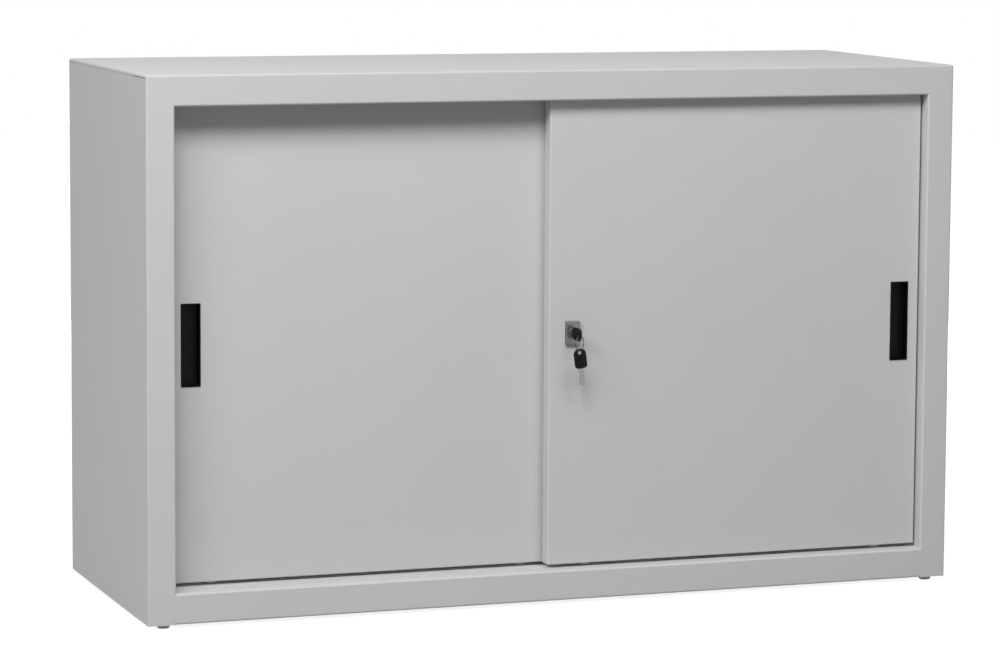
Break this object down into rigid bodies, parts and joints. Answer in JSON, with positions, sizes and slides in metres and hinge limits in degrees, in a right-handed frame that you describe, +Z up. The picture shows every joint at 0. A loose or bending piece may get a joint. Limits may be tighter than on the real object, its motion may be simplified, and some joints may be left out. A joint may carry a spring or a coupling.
{
  "type": "sliding door cabinet",
  "caption": "Low folded steel cabinet with overlapping doors that roll on a double track, an adjustable shelf, a keyed lock between the doors and levelling feet.",
  "frame": {"origin": "middle of the cabinet's footprint, on the plane that its feet stand on", "axes": "+X along the width, to the right as someone in front of the doors sees it; +Y from the doors to the back; +Z up"},
  "size_m": [1.2, 0.4708, 0.7555],
  "materials": {
    "powder_coated_steel": "satin light grey powder coat",
    "zinc_plated_steel": "bright zinc plate",
    "nickel_plated_brass": "worn nickel plate",
    "die_cast_zinc": "satin nickel-plated die casting",
    "black_plastic": "fine moulded grain",
    "nylon": "natural moulded nylon",
    "buffer_rubber": "moulded rubber",
    "foot_plastic": "moulded glass-filled nylon on a zinc-plated stud"
  },
  "bodies": {
    "carcass": {"left_side_panel": "powder_coated_steel", "right_side_panel": "powder_coated_steel", "top_panel": "powder_coated_steel", "base_panel": "powder_coated_steel", "back_panel": "powder_coated_steel", "front_left_foot_bracket": "zinc_plated_steel", "rear_left_foot_bracket": "zinc_plated_steel", "front_right_foot_bracket": "zinc_plated_steel", "rear_right_foot_bracket": "zinc_plated_steel", "front_left_shelf_strip": "powder_coated_steel", "rear_left_shelf_strip": "powder_coated_steel", "front_right_shelf_strip": "powder_coated_steel", "rear_right_shelf_strip": "powder_coated_steel", "upper_track": "zinc_plated_steel", "lower_track": "powder_coated_steel", "left_post_buffers": "buffer_rubber", "right_post_buffers": "buffer_rubber", "shelf": "powder_coated_steel", "shelf_brace": "powder_coated_steel", "shelf_clips": "zinc_plated_steel"},
    "front_left_foot": {"front_left_foot": "foot_plastic"},
    "front_right_foot": {"front_right_foot": "foot_plastic"},
    "rear_left_foot": {"rear_left_foot": "foot_plastic"},
    "rear_right_foot": {"rear_right_foot": "foot_plastic"},
    "left_door": {"left_door_skin": "powder_coated_steel", "left_door_stiffener": "powder_coated_steel", "left_handle_cup": "black_plastic", "left_roller_brackets": "zinc_plated_steel", "left_roller_axles": "zinc_plated_steel", "left_guide_shoes": "nylon"},
    "right_door": {"right_door_skin": "powder_coated_steel", "right_door_stiffener": "powder_coated_steel", "right_handle_cup": "black_plastic", "right_roller_brackets": "zinc_plated_steel", "right_roller_axles": "zinc_plated_steel", "right_guide_shoes": "nylon", "lock_housing": "die_cast_zinc", "lock_clip": "zinc_plated_steel"},
    "left_door_left_roller": {"left_door_left_roller": "nylon"},
    "left_door_right_roller": {"left_door_right_roller": "nylon"},
    "right_door_left_roller": {"right_door_left_roller": "nylon"},
    "right_door_right_roller": {"right_door_right_roller": "nylon"},
    "key": {"lock_barrel": "die_cast_zinc", "key_bow": "black_plastic", "key_blade": "nickel_plated_brass"},
    "key_ring": {"key_ring": "zinc_plated_steel"},
    "spare_key": {"spare_key_bow": "black_plastic", "spare_key_blade": "nickel_plated_brass"},
    "lock_bolt": {"lock_bolt": "zinc_plated_steel"}
  },
  "joints": [
    {"name": "left_door_slide", "type": "slide", "parent": "carcass", "child": "left_door", "axis": [1, 0, 0], "range_m": [0, 0.542]},
    {"name": "right_door_slide", "type": "slide", "parent": "carcass", "child": "right_door", "axis": [1, 0, 0], "range_m": [-0.542, 0]},
    {"name": "left_door_left_roller_turn", "type": "hinge", "parent": "left_door", "child": "left_door_left_roller", "pos_m": [-0.4975, -0.15906, 0.0601], "axis": [0, 1, 0], "range_deg": [0, 3451]},
    {"name": "left_door_right_roller_turn", "type": "hinge", "parent": "left_door", "child": "left_door_right_roller", "pos_m": [-0.0445, -0.15906, 0.0601], "axis": [0, 1, 0], "range_deg": [0, 3451]},
    {"name": "right_door_left_roller_turn", "type": "hinge", "parent": "right_door", "child": "right_door_left_roller", "pos_m": [0.0445, -0.18606, 0.0601], "axis": [0, 1, 0], "range_deg": [-3451, 0]},
    {"name": "right_door_right_roller_turn", "type": "hinge", "parent": "right_door", "child": "right_door_right_roller", "pos_m": [0.4975, -0.18606, 0.0601], "axis": [0, 1, 0], "range_deg": [-3451, 0]},
    {"name": "key_turn", "type": "hinge", "parent": "right_door", "child": "key", "pos_m": [0.0193, -0.19706, 0.384], "axis": [0, 1, 0], "range_deg": [0, 90]},
    {"name": "bolt_slide", "type": "slide", "parent": "right_door", "child": "lock_bolt", "axis": [0, 1, 0], "range_m": [0, 0.0141]},
    {"name": "key_ring_swing", "type": "hinge", "parent": "key", "child": "key_ring", "pos_m": [0.0193, -0.22756, 0.384], "axis": [1, 0, 0], "range_deg": [-45, 10]},
    {"name": "spare_key_hang", "type": "hinge", "parent": "key_ring", "child": "spare_key", "pos_m": [0.0193, -0.22756, 0.3596], "axis": [0, 1, 0], "range_deg": [-90, 0]},
    {"name": "front_left_foot_screw", "type": "slide", "parent": "carcass", "child": "front_left_foot", "axis": [0, 0, 1], "range_m": [-0.008, 0]},
    {"name": "front_right_foot_screw", "type": "slide", "parent": "carcass", "child": "front_right_foot", "axis": [0, 0, 1], "range_m": [-0.008, 0]},
    {"name": "rear_left_foot_screw", "type": "slide", "parent": "carcass", "child": "rear_left_foot", "axis": [0, 0, 1], "range_m": [-0.008, 0]},
    {"name": "rear_right_foot_screw", "type": "slide", "parent": "carcass", "child": "rear_right_foot", "axis": [0, 0, 1], "range_m": [-0.008, 0]}
  ],
  "couplings": [
    {"joint": "left_door_left_roller_turn", "follows": "left_door_slide", "rad_per_m": 111.11},
    {"joint": "left_door_right_roller_turn", "follows": "left_door_slide", "rad_per_m": 111.11},
    {"joint": "right_door_left_roller_turn", "follows": "right_door_slide", "rad_per_m": 111.11},
    {"joint": "right_door_right_roller_turn", "follows": "right_door_slide", "rad_per_m": 111.11},
    {"joint": "bolt_slide", "follows": "key_turn", "m_per_rad": 0.0089127},
    {"joint": "spare_key_hang", "follows": "key_turn", "ratio": -1}
  ]
}
